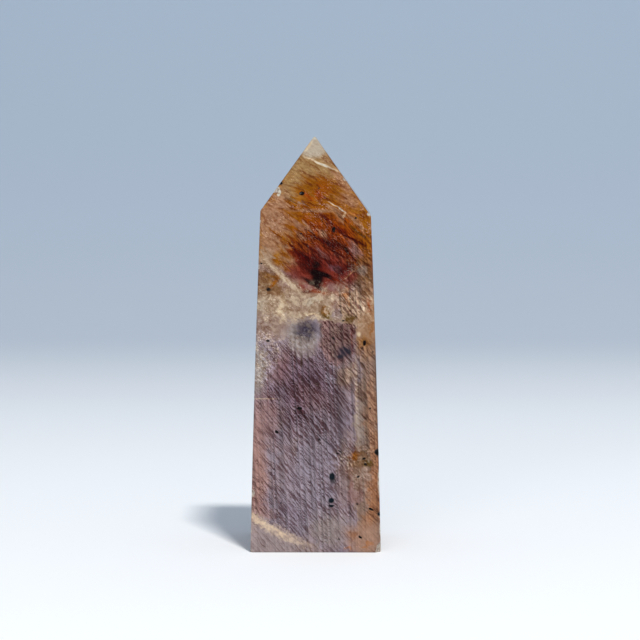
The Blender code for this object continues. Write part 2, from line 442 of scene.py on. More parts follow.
stoneLook = {
    # paints of the stone, as they are under a white light
    "paints": {
        "cream": "#bea888", "clear": "#9f927f", "white": "#b0a999", "pearl": "#c0b5a4",
        "khaki": "#886b45", "buff": "#917b65", "pinkBeige": "#8e684d", "tan": "#876549",
        "apricot": "#916543", "peach": "#916f5c", "orange": "#965b28", "ochre": "#875921",
        "amber": "#7a4300", "olive": "#503804", "rust": "#7f3500", "redBrown": "#5a1400",
        "maroon": "#6a261a", "heart": "#0f0000", "oxblood": "#400400", "rose": "#8f6d64",
        "pinkLilac": "#7c5e5a", "mauve": "#7d6d71", "plum": "#624d5a", "lilac": "#80767f",
        "grey": "#857970", "smoke": "#2b2431", "teal": "#000c13", "curd": "#b5a086",
        "sand": "#c4ab90", "taupe": "#7e6555", "oat": "#8c7560", "umber": "#6b4b2e",
        "slate": "#74676f", "dusk": "#523d3a", "ash": "#8f807c",
    },
    "index": 1.54,
    "shine": 0.1,                    # weak, because most of the colour comes from below the skin
    "roughness": (0.05, 0.12),       # over clear stone and over cloudy grains
    # broad ground of the feldspar: the levels of a cloud noise, their paints and the clouds' size
    "ground": ((0.34, "slate"), (0.46, "mauve"), (0.56, "mauve"), (0.66, "lilac")),
    "cloudSize": 7.0,
    # borders of zones, plates and glints wander in waves of this size, this far
    "drift": (6.0, 0.8),
    "ragged": (1.1, 0.7),
    "jagged": (1.3, 0.13),
    "flameBend": (0.9, 0.3),
    "crumble": (0.3, 0.2),
    # layered noises: thickness, length and detail
    "flicker": (0.75, 5.0, 3.0),     # draws the crown's borders out like flames
    "flickerReach": 4.0,             # the noise's whole range draws them this far each way
    "streaks": (0.5, 1.2, 3.0),      # the mottle's grains are a little longer along the plates
    "veins": (0.7, 2.4, 4.0),
    "lamina": (0.3, 20, 2.0),        # growth layers, seen as upright stripes
    "grainSize": 0.55,
    "grainLevels": (0.3, 0.7),           # where the noise of the grains starts and ends
    "mottleLevels": (0.74, 1.26),        # the same for that noise and the streaks together
    "mottleDark": (0.62, 0.48, 0.38),    # what the mottle leaves of red, green and blue
    "mottleLight": (1.34, 1.44, 1.54),
    "nestSize": 2.4,
    "nestLevels": (0.42, 0.68, 0.55),    # where nests of painted glints start and are full, and how full
    # body zones, the later ones on top: paint, middle x y z, half size x y z, clockwise lean
    # in degrees, softness of the border, strength
    "zones": [
        ("plum", -1.6, -12, 31.6, 5.8, 6, 6.2, 15, 0.6, 0.85),       # dark heart of the body
        ("slate", 1.6, -12, 24.0, 5.2, 5, 4.6, 10, 0.6, 0.7),
        ("lilac", -0.5, -12, 13.5, 4.8, 6, 8.5, 8, 0.6, 0.75),       # clear lower body
        ("pinkLilac", -9.8, -12, 26.0, 2.6, 5, 5.0, 0, 0.6, 0.7),
        ("maroon", -6.5, -12, 35.6, 1.5, 4, 2.9, 12, 0.8, 0.35),
        ("taupe", 6.2, -12, 34.4, 1.8, 4, 2.8, 25, 0.6, 0.85),
        ("sand", 6.8, -12, 35.0, 0.7, 4, 1.6, 25, 0.7, 0.3),
        ("pinkLilac", -1.0, -12, 30.0, 3.6, 4, 2.2, 30, 0.7, 0.4),
        ("lilac", 2.9, -12, 34.3, 0.8, 4, 2.6, 0, 0.5, 0.8),         # clear streaks
        ("lilac", -2.6, -12, 18.0, 1.4, 5, 3.4, 5, 0.5, 0.6),
        ("rose", -13.4, -14, 17.0, 4.2, 12, 12.5, -4, 0.4, 0.95),    # rose margin
        ("lilac", -4.4, -12, 7.4, 3.6, 5, 3.2, 20, 0.6, 0.7),
        ("plum", -4.6, -12, 7.6, 2.4, 5, 0.9, 25, 0.7, 0.4),
        ("rose", -9.6, -12, 8.0, 2.4, 5, 1.4, 25, 0.6, 0.6),
        ("olive", -4.2, -12, 19.8, 0.5, 3, 1.2, 0, 0.7, 0.3),        # green-grey breath
        ("grey", 2.5, -12, 4.5, 3.6, 5, 3.2, 0, 0.6, 0.6),
        ("taupe", 16.3, -14, 18, 8.9, 30, 34, 0, 0.045, 0.9),        # sunstone strip
        ("taupe", 5.8, -12, 16.0, 1.8, 5, 6.0, 0, 0.6, 0.5),
        ("grey", 8.35, -12, 24.5, 0.65, 4, 4.4, 0, 0.4, 0.7),
        ("apricot", 10.8, -12, 26.5, 1.2, 5, 7.5, 0, 0.5, 0.5),
        ("orange", 11.5, -13, 13.5, 1.2, 5, 8.0, 0, 0.6, 0.6),       # orange edge
        ("orange", 9.9, -13, 6.6, 1.0, 4, 2.6, 20, 0.6, 0.4),
        ("peach", 9.4, -13, 2.8, 3.2, 6, 3.0, 0, 0.5, 0.9),          # peach foot
        ("amber", 7.4, -12.5, 3.6, 0.9, 3, 0.5, -20, 0.7, 0.5),
        ("orange", 10.0, -12.5, 1.6, 1.0, 3, 0.3, -35, 0.6, 0.6),
        ("orange", 6.3, -12.5, 0.7, 0.8, 3, 0.35, 0, 0.6, 0.6),
        ("pinkLilac", 8.4, -12.5, 11.2, 1.1, 4, 1.5, 0, 0.5, 0.8),
        ("rust", 6.9, -12.5, 13.6, 0.5, 3, 4.0, 0, 0.8, 0.35),
        ("taupe", 8.2, -12.5, 16.6, 2.2, 3, 3.4, 10, 0.7, 0.6),
        ("umber", 8.4, -12.3, 18.2, 2.2, 3, 1.9, 20, 0.6, 0.9),      # ochre nests
        ("buff", 8.9, -12.3, 18.4, 0.8, 3, 0.5, 0, 0.7, 0.7),
        ("amber", 7.6, -12.3, 19.5, 1.0, 3, 0.9, 0, 0.6, 1.0),
        ("olive", 9.9, -12.3, 17.2, 0.9, 3, 0.8, 15, 0.5, 0.9),
        ("olive", 9.4, -12.3, 20.0, 0.7, 3, 0.35, -15, 0.6, 0.8),
        ("grey", -11.2, -12, 36.5, 1.9, 5, 5.0, 0, 0.35, 0.9),       # grey margin
        ("slate", -10.8, -12, 40.8, 1.0, 4, 0.6, 0, 0.5, 0.8),
        # buff belt
        ("oat", 0, 0, 48.0, 30, 26, 3.9, 4, 0.35, 1.0),
        ("taupe", -8.6, -11.4, 43.8, 3.4, 4, 2.0, 0, 0.5, 0.8),
        ("taupe", -3.4, -11.4, 48.2, 2.0, 4, 1.6, 0, 0.6, 0.7),
        ("tan", -7.8, -11.4, 49.8, 1.6, 4, 0.8, 20, 0.6, 0.8),
        ("cream", -6.3, -11.4, 47.6, 0.6, 4, 2.4, 0, 0.7, 0.7),
        ("clear", -10.4, -11.4, 47.8, 1.4, 4, 1.2, 0, 0.6, 0.6),
        ("clear", -0.9, -11.2, 48.6, 1.1, 3, 0.5, -10, 0.6, 0.8),
        ("cream", -0.9, -11.3, 46.4, 1.4, 3, 0.3, -5, 0.6, 0.8),
        ("cream", 0.6, -11.3, 45.5, 1.1, 3, 0.5, 40, 0.6, 0.7),
        ("rose", 4.6, -11.2, 48.9, 1.1, 3, 1.5, 20, 0.6, 0.7),
        ("clear", 4.9, -11.2, 49.2, 0.5, 3, 0.9, 10, 0.7, 0.7),
        ("tan", 7.6, -11.4, 47.6, 3.4, 4, 3.6, 0, 0.6, 0.5),
        ("sand", 8.2, -11.3, 47.4, 1.0, 3, 1.9, -8, 0.6, 0.7),
        ("mauve", 4.2, -11.3, 46.6, 0.8, 3, 1.3, 0, 0.5, 0.6),
        ("apricot", 10.6, -11.3, 50, 1.3, 6, 8.5, 0, 0.4, 0.7),
        ("tan", 9.4, -11.5, 44.0, 1.8, 5, 2.4, 0, 0.5, 0.85),
        ("olive", 2.3, -11.4, 46.2, 1.2, 3, 1.0, 10, 0.45, 0.95),    # ochre nests
        ("amber", 2.2, -11.4, 46.7, 0.7, 2, 0.5, 0, 0.6, 0.7),
        ("olive", 6.5, -11.4, 45.7, 0.9, 3, 0.55, 30, 0.5, 0.85),
        ("rust", 10.0, -11.4, 47.6, 0.4, 3, 1.1, 4, 0.5, 0.8),
        ("orange", 6.0, -11.4, 49.8, 0.35, 3, 1.6, -8, 0.6, 0.8),
        ("tan", 9.8, -11.6, 41.2, 2.2, 5, 4.0, 0, 0.4, 0.8),
        ("ochre", 9.2, -11.7, 40.6, 1.1, 3, 1.2, 0, 0.6, 0.75),
        ("amber", 10.6, -11.7, 43.6, 0.4, 3, 1.4, 0, 0.6, 0.6),
        # close-hatched block
        ("pinkLilac", 2.9, -11.7, 43.0, 1.75, 4, 1.9, 0, 0.1, 0.95),
        ("pinkLilac", 5.9, -11.7, 43.0, 1.75, 4, 1.9, 0, 0.1, 0.95),
        ("pinkLilac", 4.4, -11.8, 40.0, 3.2, 4, 3.6, 0, 0.12, 0.9),
        ("dusk", 4.4, -11.8, 41.2, 2.7, 4, 3.4, 0, 0.4, 0.55),
        # round the eye
        ("grey", -2.4, -11.6, 41.6, 3.4, 4, 3.4, 0, 0.3, 0.8),
        ("mauve", -1.4, -11.6, 43.5, 2.2, 3, 2.1, 0, 0.4, 0.9),
    ],
    # zones of the other sides
    "otherZones": [
        ("mauve", 12, 5.5, 31, 4, 5.0, 9.0, 0, 0.5, 0.9),            # right
        ("plum", 12, 7.0, 34, 4, 2.6, 4.5, 0, 0.6, 0.8),
        ("lilac", 12, 4.0, 14, 4, 3.4, 7.0, 0, 0.6, 0.8),
        ("orange", 12.4, -7.5, 22, 3, 2.6, 9.0, 0, 0.7, 0.6),
        ("umber", 12.3, -2.5, 23, 2, 2.0, 1.5, 0, 0.6, 0.85),
        ("amber", 12.3, -1.6, 23.6, 2, 0.7, 0.6, 0, 0.5, 0.9),
        ("curd", 11, 3.6, 48.2, 3, 2.4, 1.0, 0, 0.6, 0.7),
        ("taupe", 11, -3.5, 46.0, 3, 2.8, 2.0, 0, 0.6, 0.8),
        ("olive", 11.4, 7.0, 45.8, 2, 1.1, 0.8, 0, 0.5, 0.9),
        ("plum", 2.8, 12, 32.5, 4.6, 5, 7.0, -12, 0.6, 0.85),        # back
        ("grey", -9.8, 12, 36, 2.2, 5, 4.6, 0, 0.5, 0.85),
        ("lilac", -1.5, 12, 14.5, 4.8, 5, 7.0, -10, 0.6, 0.85),
        ("rose", 13, 13, 15, 4.4, 6, 11, 0, 0.5, 0.9),
        ("slate", -7.6, 12, 23, 3.0, 5, 6.0, 0, 0.6, 0.7),
        ("tan", -6.4, 11.4, 47.0, 3.0, 4, 2.2, 0, 0.6, 0.85),
        ("curd", 2.6, 11.3, 48.6, 2.6, 3, 1.0, -10, 0.6, 0.7),
        ("amber", 6.8, 11.4, 46.0, 0.9, 3, 0.7, 0, 0.6, 0.8),
        ("plum", -12, 3.5, 31, 4, 4.6, 7.0, 0, 0.6, 0.8),            # left
        ("grey", -12, -7.4, 36.5, 4, 3.2, 4.8, 0, 0.5, 0.85),
        ("pinkLilac", -12.2, 8.5, 22, 4, 3.0, 7.0, 0, 0.6, 0.8),
        ("lilac", -12.2, 1.5, 14, 4, 4.0, 6.0, 0, 0.6, 0.8),
        ("tan", -11.2, 4.2, 46.8, 3, 3.2, 2.0, 0, 0.6, 0.8),
        ("curd", -11.2, -5.0, 48.0, 3, 2.2, 1.1, 0, 0.6, 0.7),
        ("olive", -11.4, -1.8, 45.6, 2, 1.0, 0.6, 0, 0.5, 0.85),
    ],
    # zones of the crown on the other sides
    "otherFlames": [
        ("amber", 10.5, -3.5, 62, 4, 5.0, 5.0, 0, 0.6, 0.85),        # right
        ("rust", 10.6, -5.0, 57.6, 4, 4.6, 3.2, 0, 0.6, 0.85),
        ("maroon", 10.8, -7.0, 55.0, 3, 3.4, 1.8, 0, 0.6, 0.7),
        ("pinkBeige", 10, 6.0, 62, 4, 3.6, 4.0, 0, 0.6, 0.85),
        ("tan", 6.5, 0.5, 71.0, 4, 3.0, 2.0, 0, 0.6, 0.8),
        ("amber", -1.0, 9.5, 65.0, 6.5, 5, 4.0, 0, 0.6, 0.85),       # back
        ("rust", -2.6, 10.4, 60.2, 4.6, 5, 2.8, -25, 0.6, 0.9),
        ("maroon", -4.0, 10.8, 56.6, 3.8, 4, 2.4, -20, 0.6, 0.9),
        ("redBrown", -4.6, 11, 56.0, 1.8, 3, 0.8, -30, 0.7, 0.9),
        ("pinkBeige", 6.8, 10.6, 61.0, 3.0, 5, 3.6, 0, 0.5, 0.9),
        ("pinkBeige", -5.0, 8.0, 69.4, 2.4, 4, 1.4, -35, 0.6, 0.8),
        ("amber", -10.4, -1.0, 63, 4, 5.0, 4.0, 0, 0.6, 0.8),        # left
        ("rust", -10.6, -2.0, 58.4, 4, 3.6, 2.4, 0, 0.6, 0.8),
        ("maroon", -10.9, 0.5, 55.4, 3, 2.6, 1.4, 0, 0.6, 0.75),
        ("pinkBeige", -10.2, 6.6, 61, 4, 3.0, 4.0, 0, 0.6, 0.85),
        ("tan", -7.0, 1.0, 70.4, 4, 2.6, 1.8, 0, 0.6, 0.8),
    ],
    # zones of the crown, whose borders flame out along the slanting cleavage
    "flames": [
        ("ochre", 0, 0, 73, 26, 26, 21.0, 0, 0.05, 1.0),
        ("khaki", 0, 0, 77.5, 14, 14, 6.0, 0, 0.3, 0.9),
        ("tan", 0, 0, 52, 14, 14, 2.4, 0, 0.5, 0.6),
        # broad iron stain: amber, then rust, then maroon towards the heart
        ("amber", 0.6, -9.5, 64.6, 7.6, 6, 5.6, 0, 0.6, 0.95),
        ("amber", 9.4, -10, 60.0, 3.4, 6, 6.0, 0, 0.5, 0.75),
        ("rust", 2.8, -10.5, 60.8, 6.4, 6, 4.2, 20, 0.5, 0.95),
        ("rust", -2.8, -10.5, 57.8, 3.6, 6, 2.4, 35, 0.6, 0.8),
        ("maroon", 1.4, -11, 54.8, 6.2, 6, 4.2, 10, 0.4, 1.0),
        ("redBrown", -1.6, -11, 56.0, 3.4, 6, 1.6, 35, 0.6, 0.75),
        ("redBrown", 3.2, -11, 59.6, 3.6, 6, 1.2, 25, 0.6, 0.7),
        # point
        ("khaki", -4.8, -7.6, 70.8, 1.6, 4, 2.8, 35, 0.6, 0.85),
        ("tan", -6.9, -8.6, 68.6, 1.4, 4, 2.0, 35, 0.6, 0.7),
        ("pinkBeige", 4.9, -6.0, 71.6, 3.4, 5, 0.9, 55, 0.5, 0.8),
        ("amber", 0.8, -6.6, 70.2, 3.6, 4, 2.4, 8, 0.6, 1.0),
        ("olive", 0.8, -7.4, 69.8, 3.0, 4, 1.5, 15, 0.8, 0.3),
        ("rust", 1.4, -7.2, 70.0, 1.8, 4, 1.4, 20, 0.7, 0.5),
        ("rust", -1.2, -8.7, 68.4, 0.9, 4, 0.45, 10, 0.6, 0.85),
        ("rust", 1.0, -8.5, 68.6, 1.2, 4, 0.7, 25, 0.6, 0.9),
        ("redBrown", 0.8, -8.3, 68.9, 0.6, 3, 0.35, 30, 0.7, 0.7),
        ("olive", -5.4, -8.7, 68.2, 1.0, 3, 0.6, 20, 0.7, 0.8),
        ("grey", -2.9, -9.2, 67.3, 1.0, 3, 0.25, 10, 0.7, 0.5),
        ("pinkBeige", 6.6, -9, 67.8, 2.2, 4, 0.9, 15, 0.6, 0.8),
        ("pinkBeige", -8.0, -9.5, 66.8, 3.0, 4, 1.5, -35, 0.5, 0.9),
        ("amber", -4.0, -9.5, 66.6, 1.3, 4, 0.4, 22, 0.6, 0.85),
        # below the shoulder: the clearer rooms
        ("pinkBeige", -8.2, -10.7, 64.0, 3.2, 5, 2.5, 15, 0.5, 0.95),
        ("pinkBeige", -2.8, -10.7, 63.2, 1.5, 3, 0.8, 25, 0.5, 0.85),
        ("tan", 4.1, -10.7, 65.6, 1.4, 3, 0.6, 35, 0.5, 0.8),
        ("tan", 4.7, -10.7, 64.4, 0.9, 3, 0.6, 35, 0.6, 0.7),
        ("pinkBeige", 1.6, -10.8, 61.3, 1.3, 3, 0.6, 22, 0.5, 0.85),
        ("pinkBeige", -2.9, -10.8, 60.9, 1.1, 3, 0.5, 22, 0.6, 0.75),
        ("pinkBeige", -9.0, -10.9, 60.0, 2.0, 4, 2.4, 15, 0.5, 0.9),
        ("tan", -6.0, -10.9, 58.9, 1.1, 3, 0.6, 38, 0.6, 0.8),
        ("buff", -10.0, -10.9, 57.2, 1.5, 4, 1.8, 0, 0.5, 0.8),
        ("tan", -5.2, -10.9, 56.6, 1.6, 3, 0.7, 40, 0.6, 0.75),
        ("tan", 8.3, -10.7, 63.3, 1.5, 3, 0.5, 50, 0.6, 0.75),
        ("pinkBeige", 7.0, -10.7, 64.3, 0.9, 3, 0.35, 45, 0.6, 0.75),
        ("pinkLilac", 7.7, -10.9, 58.2, 1.8, 3, 1.0, 52, 0.5, 0.8),  # lilac window
        ("pinkLilac", 1.1, -10.9, 57.6, 1.1, 3, 0.5, 40, 0.6, 0.5),
        ("plum", 4.0, -11, 54.7, 1.4, 3, 0.7, 25, 0.6, 0.55),
        ("pinkLilac", -1.3, -11, 51.4, 1.4, 3, 0.8, 20, 0.5, 0.6),
        ("amber", 9.8, -11, 56.4, 1.6, 5, 4.5, 0, 0.6, 0.5),
        ("umber", 9.4, -11, 53.4, 2.0, 5, 3.6, 0, 0.6, 0.85),
        ("umber", -9.0, -11, 52.4, 3.2, 4, 3.0, 20, 0.6, 1.0),
        ("ochre", -7.6, -11, 53.2, 1.3, 4, 0.8, -40, 0.7, 0.7),
        ("pinkLilac", -5.6, -11, 51.4, 1.2, 3, 1.2, 30, 0.6, 0.5),
        # amber and rust tongues
        ("amber", -6.8, -10.7, 61.0, 2.0, 3, 0.35, 32, 0.6, 0.9),
        ("amber", -4.8, -10.7, 62.7, 1.6, 3, 0.4, 25, 0.6, 0.85),
        ("amber", -4.3, -10.7, 64.9, 1.6, 3, 0.35, 30, 0.6, 0.9),
        ("amber", -6.2, -10.9, 57.7, 1.3, 3, 0.35, 45, 0.6, 0.85),
        ("amber", -7.4, -10.9, 56.4, 1.0, 3, 0.5, 30, 0.6, 0.9),
        ("amber", -6.0, -10.9, 55.0, 1.0, 3, 0.3, 45, 0.6, 0.8),
        ("orange", 6.7, -10.7, 65.6, 0.9, 3, 0.4, 20, 0.6, 0.9),
        ("amber", 8.8, -10.7, 64.6, 1.8, 3, 0.25, 40, 0.6, 0.9),
        ("olive", 8.4, -10.7, 61.6, 1.6, 3, 0.3, 40, 0.6, 0.6),
        ("rust", 6.0, -10.7, 64.0, 1.0, 3, 0.2, 45, 0.6, 0.8),
    ],
    # what lies sharper in the crown: the black heart, dark sheets and clean seams
    "sharp": [
        ("maroon", -3.6, -11, 54.2, 1.9, 3, 1.6, 30, 0.6, 0.7),
        ("maroon", -1.4, -11, 51.5, 2.0, 3, 1.1, 15, 0.4, 0.9),
        ("rose", -1.5, -11, 51.4, 0.9, 3, 0.45, 20, 0.7, 0.6),
        ("pinkLilac", 3.2, -11, 51.3, 1.1, 3, 0.7, 20, 0.6, 0.7),
        ("oxblood", -0.3, -11, 55.3, 2.2, 3, 1.3, 15, 0.7, 0.85),
        ("redBrown", 2.0, -10.7, 64.3, 1.9, 3, 0.3, 38, 0.6, 0.9),
        ("oxblood", 2.6, -10.7, 63.7, 1.1, 3, 0.16, 38, 0.6, 0.7),
        ("redBrown", 4.8, -10.7, 62.1, 1.7, 3, 0.6, 20, 0.7, 0.9),
        ("oxblood", 7.1, -10.8, 60.4, 2.4, 3, 0.26, 27, 0.6, 0.95),
        ("oxblood", 0.7, -10.8, 60.4, 2.0, 3, 0.28, 30, 0.6, 0.9),
        ("oxblood", 3.0, -10.8, 59.4, 1.6, 3, 0.7, 20, 0.7, 0.9),
        ("heart", 5.8, -10.9, 58.5, 1.2, 3, 0.36, 48, 0.6, 0.9),
        ("oxblood", 7.1, -10.9, 57.0, 1.2, 3, 0.22, 56, 0.6, 0.95),
        ("oxblood", -4.3, -10.8, 58.8, 1.8, 3, 0.24, 48, 0.6, 0.95),
        ("oxblood", -0.9, -10.8, 58.6, 2.2, 3, 0.28, 35, 0.6, 0.95),
        ("oxblood", 3.8, -10.9, 57.9, 2.3, 3, 0.14, 29, 0.6, 0.95),
        ("oxblood", -2.4, -10.9, 57.0, 1.8, 3, 0.6, 38, 0.7, 0.95),
        ("oxblood", 5.9, -11, 54.9, 1.6, 3, 0.8, -40, 0.6, 0.85),
        ("oxblood", 2.4, -11, 56.2, 1.8, 3, 0.3, 30, 0.7, 0.7),
        ("oxblood", -1.8, -11, 50.4, 1.1, 3, 0.3, -5, 0.7, 0.8),
        ("rust", 1.0, -11, 50.2, 1.6, 3, 0.3, 10, 0.7, 0.7),
        ("maroon", 6.9, -11, 53.1, 1.4, 3, 0.9, -30, 0.5, 0.75),
        ("grey", 8.9, -11, 54.5, 0.9, 3, 0.9, 0, 0.5, 0.6),
        ("heart", 0.2, -11, 55.5, 0.7, 3, 0.8, 0, 0.7, 0.9),
        ("heart", 0.2, -11, 53.9, 1.7, 4, 0.8, 15, 0.5, 1.0),
        ("heart", 0.3, -11, 52.7, 1.2, 4, 1.3, 0, 0.5, 1.0),
        ("heart", 1.9, -11, 53.5, 2.6, 3, 0.45, 25, 0.5, 1.0),
        ("heart", -0.6, -11, 51.9, 2.3, 3, 0.42, 30, 0.6, 0.95),
        ("redBrown", 4.6, -11, 52.2, 1.8, 3, 0.2, 28, 0.6, 0.95),
        ("curd", -6.0, -11, 53.0, 4.0, 3, 0.45, 44, 0.7, 0.75),
        ("amber", -8.0, -11, 52.0, 1.2, 3, 0.35, -48, 0.6, 0.9),
        ("clear", -0.6, -1.4, 78.7, 3.1, 4, 3.1, 0, 0.22, 0.95),     # clear tip, painted paler with the glow of light through the thin point
        ("tan", 2.2, -2.5, 75.4, 1.1, 3, 1.2, 30, 0.6, 0.5),
        ("cream", -1.5, -1.2, 78.2, 0.35, 3, 1.2, 35, 0.6, 0.7),
        # painted glow at the very point
        ("white", -0.2, 0, 79.9, 0.8, 2, 0.5, 0, 0.5, 0.9),
        ("lilac", 0.1, -11.6, 43.2, 0.7, 3, 1.8, -15, 0.6, 0.7),     # eye
        ("smoke", -1.7, -11.6, 43.1, 1.9, 3, 1.7, 0, 0.8, 1.0),
        ("smoke", -3.3, -11.6, 42.3, 1.0, 2, 0.3, 15, 0.6, 0.6),
        ("smoke", -1.2, -11.6, 41.6, 0.16, 2, 0.9, 15, 0.6, 0.7),
        ("lilac", -1.75, -11.6, 42.8, 0.5, 2, 0.5, 0, 0.6, 0.35),
        ("smoke", -1.75, -11.6, 42.8, 0.34, 2, 0.34, 0, 0.5, 1.0),
        ("cream", 0.9, -3.6, 74.8, 3.5, 5, 0.2, 23, 0.5, 1.0),
        ("white", 1.7, -3.8, 74.45, 2.0, 5, 0.11, 24, 0.5, 1.0),
        ("tan", 0.1, -10.2, 65.9, 4.4, 2, 0.3, 1, 0.7, 0.75),        # tan band along the shoulder
        ("white", -7.5, -8, 69.9, 0.55, 3, 0.6, -30, 0.25, 0.95),
        ("white", -7.1, -8, 69.2, 0.35, 3, 0.6, 15, 0.3, 0.95),
        ("cream", 3.4, -9.6, 67.1, 1.0, 3, 0.1, 28, 0.6, 0.8),
        ("white", 4.9, -9.9, 66.2, 0.9, 3, 0.13, 38, 0.6, 1.0),
        ("cream", 5.5, -10, 65.2, 0.25, 3, 0.5, 15, 0.6, 0.9),
        ("apricot", 6.85, -11, 53.9, 2.3, 3, 0.08, -39, 0.5, 1.0),   # twin plane
        ("cream", -9.8, -12, 29.75, 2.3, 3, 0.1, 0, 0.6, 0.6),
        ("oxblood", -1.2, -12, 24.8, 3.8, 3, 0.1, 58, 0.6, 0.8),
        ("heart", 1.9, -12, 21.6, 1.6, 3, 0.14, 40, 0.7, 0.7),
        ("cream", 7.8, -12, 31.5, 0.22, 3, 5.5, 0, 0.9, 0.35),
        ("redBrown", -9.2, -12, 31.5, 0.11, 3, 4.4, 0, 0.6, 0.35),
        ("redBrown", -4.0, -12, 37.6, 0.12, 3, 2.0, 0, 0.6, 0.6),
        ("olive", -2.75, -12, 36.8, 0.13, 3, 1.3, 0, 0.6, 0.7),
        ("redBrown", 7.0, -12, 41.5, 0.14, 3, 3.0, 0, 0.6, 0.7),
        ("cream", 8.3, -12, 42.2, 0.4, 3, 0.5, 0, 0.5, 0.8),
    ],
    # specks seen through clear stone, a little below the polish
    "sunk": [
        ("teal", 3.15, -12.2, 14.7, 0.6, 2.5, 0.8, 0, 0.3, 1.0),
        ("teal", 3.35, -12.2, 13.8, 0.5, 2.5, 0.6, 0, 0.8, 0.7),
        ("teal", 3.05, -12.3, 10.1, 0.55, 2.5, 0.5, 0, 0.25, 1.0),
        ("teal", 3.05, -12.3, 9.1, 0.5, 2.5, 0.26, 0, 0.3, 1.0),
        ("teal", 5.9, -11.8, 39.1, 0.9, 2, 0.35, 50, 0.5, 0.95),
        ("teal", 5.3, -11.8, 38.6, 1.0, 2, 0.3, 45, 0.5, 0.8),
        ("teal", 4.8, -11.8, 37.9, 0.6, 2, 0.4, 0, 0.6, 0.9),
        ("teal", 6.5, -11.8, 38.8, 0.3, 2, 0.6, 0, 0.6, 0.8),
        ("smoke", 5.4, -11.8, 38.6, 1.7, 2, 1.0, -30, 0.7, 0.5),
        ("teal", -9.1, -11, 50.8, 0.5, 2, 0.35, 20, 0.6, 0.8),
    ],
    # how much of the iron plates shows, from 0 to 1: amount, then as above
    "platesElsewhere": 0.08,
    "plateReach": [
        (0.75, 0, 0, 14, 40, 40, 29.0, 0, 0.05, 1.0),          # all of the body
        (0.95, -1.0, -12, 30.0, 6.5, 6, 8.0, 15, 0.4, 0.9),
        (0.85, 4.5, -12, 39.6, 3.4, 5, 4.2, 0, 0.2, 1.0),
        (0.9, 2.9, -11.7, 43.2, 1.8, 5, 1.8, 0, 0.1, 1.0),
        (0.9, 5.9, -11.7, 43.2, 1.8, 5, 1.8, 0, 0.1, 1.0),
        (0.85, 2.6, -11, 58.4, 7.6, 8, 6.4, 0, 0.4, 0.85),
        (0.7, 8.8, -11, 53, 2.6, 5, 8.0, 0, 0.4, 0.85),
        (0.9, 6.6, -11, 48.2, 2.6, 5, 3.0, 0, 0.4, 0.85),
        (0.1, 0.8, -11, 53.2, 2.6, 5, 1.8, 15, 0.4, 0.9),
        (0.3, -11.4, -12, 36.5, 2.0, 6, 6.5, 0, 0.3, 0.9),
        (0.35, -1.6, -11.5, 41.6, 3.0, 4, 3.4, 0, 0.3, 0.95),
        (0.3, 9.0, -12, 14, 2.8, 5, 6.0, 0, 0.4, 0.85),
        (0.2, 9.6, -12, 3.5, 3.6, 5, 4.0, 0, 0.4, 0.9),
        (0.55, -2.6, -12, 16.5, 1.3, 4, 3.2, 0, 0.5, 0.8),
        (0.35, 8.3, -12, 25.0, 0.9, 4, 5.0, 0, 0.4, 0.8),
        (0.4, -9, -12, 1.5, 6.5, 5, 3.4, 25, 0.3, 0.9),
        (0.5, -10.7, -12, 21, 1.7, 5, 9.5, 0, 0.5, 0.75),
        (0.4, 3.4, -12, 3.2, 4.8, 5, 3.4, 0, 0.5, 0.85),
    ],
    # where the plates are rust rather than maroon
    "rustReach": [
        (1.0, 16.3, -14, 20, 8.9, 30, 40, 0, 0.06, 1.0),
        (1.0, 0, 0, 69, 40, 40, 21, 0, 0.08, 1.0),
        (0.7, -6.6, -12, 35.5, 2.0, 5, 3.0, 0, 0.6, 0.9),
        (0.9, 6.4, -12, 34.2, 2.0, 4, 3.2, 0, 0.6, 0.9),
    ],
    # where the stone is curdled
    "curdReach": [
        (1.0, 0, 0, 47.8, 30, 26, 4.2, 4, 0.3, 1.0),
        (0.5, 7.4, -11, 48.0, 3.4, 5, 4.0, 0, 0.4, 0.9),
        (0.2, 4.4, -11.6, 41.5, 3.4, 5, 4.2, 0, 0.2, 1.0),
        (0.2, -1.6, -11.6, 43.0, 2.6, 5, 2.4, 0, 0.3, 1.0),
        (0.5, -9.4, -11.6, 41.5, 3.8, 5, 4.6, -10, 0.4, 0.9),
    ],
    "curdSize": 1.6,
    # paint, where the curd noise starts and ends to show it, strength
    "curds": (("curd", 0.47, 0.64, 0.75), ("umber", 0.44, 0.34, 0.5)),
    # where veins of iron run through the stone
    "veinReach": [
        (1.0, 0, 0, 64, 40, 40, 13, 0, 0.12, 1.0),
        (0.2, -0.3, 0, 78.5, 5, 5, 4, 0, 0.4, 1.0),
        (0.3, -9.8, -11, 57, 2.4, 4, 4, 0, 0.5, 0.9),
    ],
    # where the stone is sugary with pale grains, and where the painted glints gather
    "sugarAndGlintsElsewhere": 0.25,
    "sugarAndGlintReach": [
        (1.0, 0, 0, 62, 40, 40, 18, 0, 0.12, 0.9),
        (0.55, 12, 0, 64, 6, 9.5, 13, 0, 0.3, 0.9),        # less on the other sides
        (0.6, 0, 12, 64, 9.5, 6, 13, 0, 0.3, 0.9),
        (0.55, -12, 0, 64, 6, 9.5, 13, 0, 0.3, 0.9),
        (1.0, 9.0, -12, 14, 2.6, 5, 3.5, 0, 0.5, 0.9),
        (1.5, 7.2, -12, 18.4, 3.8, 5, 3.2, 0, 0.6, 1.0),
        (1.9, -10.2, -12, 39, 2.8, 6, 5.6, 0, 0.5, 1.0),
        (0.8, -2.4, -11.6, 40.8, 3.2, 4, 2.6, 0, 0.5, 0.9),
        (0.15, -1.6, -11.6, 43.4, 1.8, 4, 1.8, 0, 0.5, 0.9),
        (0.3, 2.6, -11, 58.5, 6.5, 4, 6.5, 0, 0.5, 0.9),
        (0.5, 0, -5, 72.5, 9, 9, 5.5, 0, 0.5, 0.9),
        (0.55, -7.6, -11, 61.0, 3.8, 5, 6.0, 0, 0.5, 0.85),
